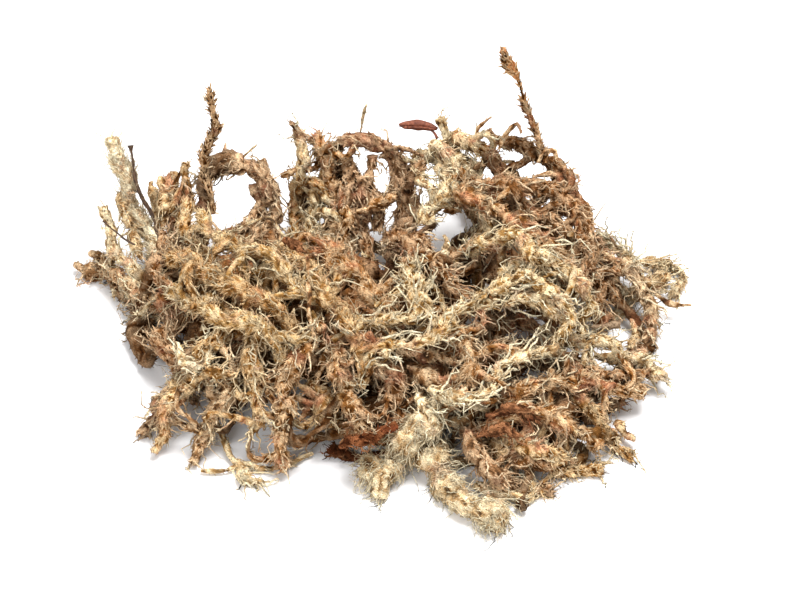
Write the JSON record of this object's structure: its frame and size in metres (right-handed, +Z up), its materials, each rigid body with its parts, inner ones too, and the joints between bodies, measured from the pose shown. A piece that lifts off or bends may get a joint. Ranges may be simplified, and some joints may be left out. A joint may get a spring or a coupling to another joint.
{
  "type": "dried moss clump",
  "caption": "Loose clump of dried long-fibre sphagnum moss: crossing pale and brown strands, with stalks and twigs, lying on its flat underside.",
  "frame": {"origin": "middle of the clump's bounding box, on the surface that it lies on", "axes": "+X along the clump's longest side, to the right of someone at its front; +Y towards its back, where the tall stalks stand; +Z up"},
  "size_m": [0.189, 0.1358, 0.0721],
  "materials": {
    "cream_moss": "matte",
    "russet_moss": "matte",
    "brown_moss": "matte",
    "tan_moss": "matte",
    "straw_moss": "matte",
    "dark_bark": "matte",
    "chocolate_moss": "matte"
  },
  "bodies": {
    "root": {"front_pale_strand": "cream_moss", "front_left_lobe": "cream_moss", "front_russet_strand": "russet_moss", "centre_front_strand_a": "brown_moss", "centre_front_strand_b": "tan_moss", "centre_front_strand_c": "straw_moss", "centre_front_strand_d": "tan_moss", "front_leg": "tan_moss", "bundle_edge_strand": "brown_moss", "bundle_top_strand": "tan_moss", "bundle_middle_strand": "straw_moss", "right_curl_strand": "straw_moss", "long_pale_strand": "cream_moss", "right_pale_strand": "cream_moss", "long_tan_strand_a": "tan_moss", "long_tan_strand_b": "brown_moss", "long_tan_strand_c": "brown_moss", "left_lower_strand_a": "straw_moss", "left_lower_strand_b": "tan_moss", "left_lower_strand_c": "straw_moss", "left_lower_strand_d": "brown_moss", "left_edge_strand": "brown_moss", "left_pale_upright": "cream_moss", "left_bare_stem": "dark_bark", "left_yellow_tuft": "cream_moss", "left_back_strand_a": "tan_moss", "left_back_strand_b": "straw_moss", "scaly_stalk": "tan_moss", "brown_arch": "brown_moss", "column_strand_a": "straw_moss", "column_strand_b": "cream_moss", "column_strand_c": "tan_moss", "column_strand_d": "brown_moss", "chocolate_arch": "chocolate_moss", "top_pale_strand_a": "cream_moss", "top_pale_strand_b": "cream_moss", "top_pale_strand_c": "straw_moss", "bark_flake": "russet_moss", "chestnut_back_strand": "brown_moss", "bud_stalk": "tan_moss", "right_back_strand_a": "brown_moss", "right_back_strand_b": "tan_moss", "right_back_strand_c": "brown_moss", "pale_mass_strand_a": "cream_moss", "pale_mass_strand_b": "cream_moss", "sinuous_pale_strand": "cream_moss", "centre_brown_strand": "brown_moss", "centre_pale_strand": "cream_moss", "centre_tan_strand": "tan_moss", "centre_long_strand": "straw_moss", "left_centre_strand_a": "cream_moss", "left_centre_strand_b": "straw_moss", "left_centre_strand_c": "cream_moss", "left_side_strand": "brown_moss", "right_yellow_strand": "cream_moss", "right_loop": "straw_moss", "right_brown_strand": "tan_moss", "broken_twig": "dark_bark", "base_strand_a": "brown_moss", "base_strand_b": "brown_moss"}
  },
  "joints": []
}
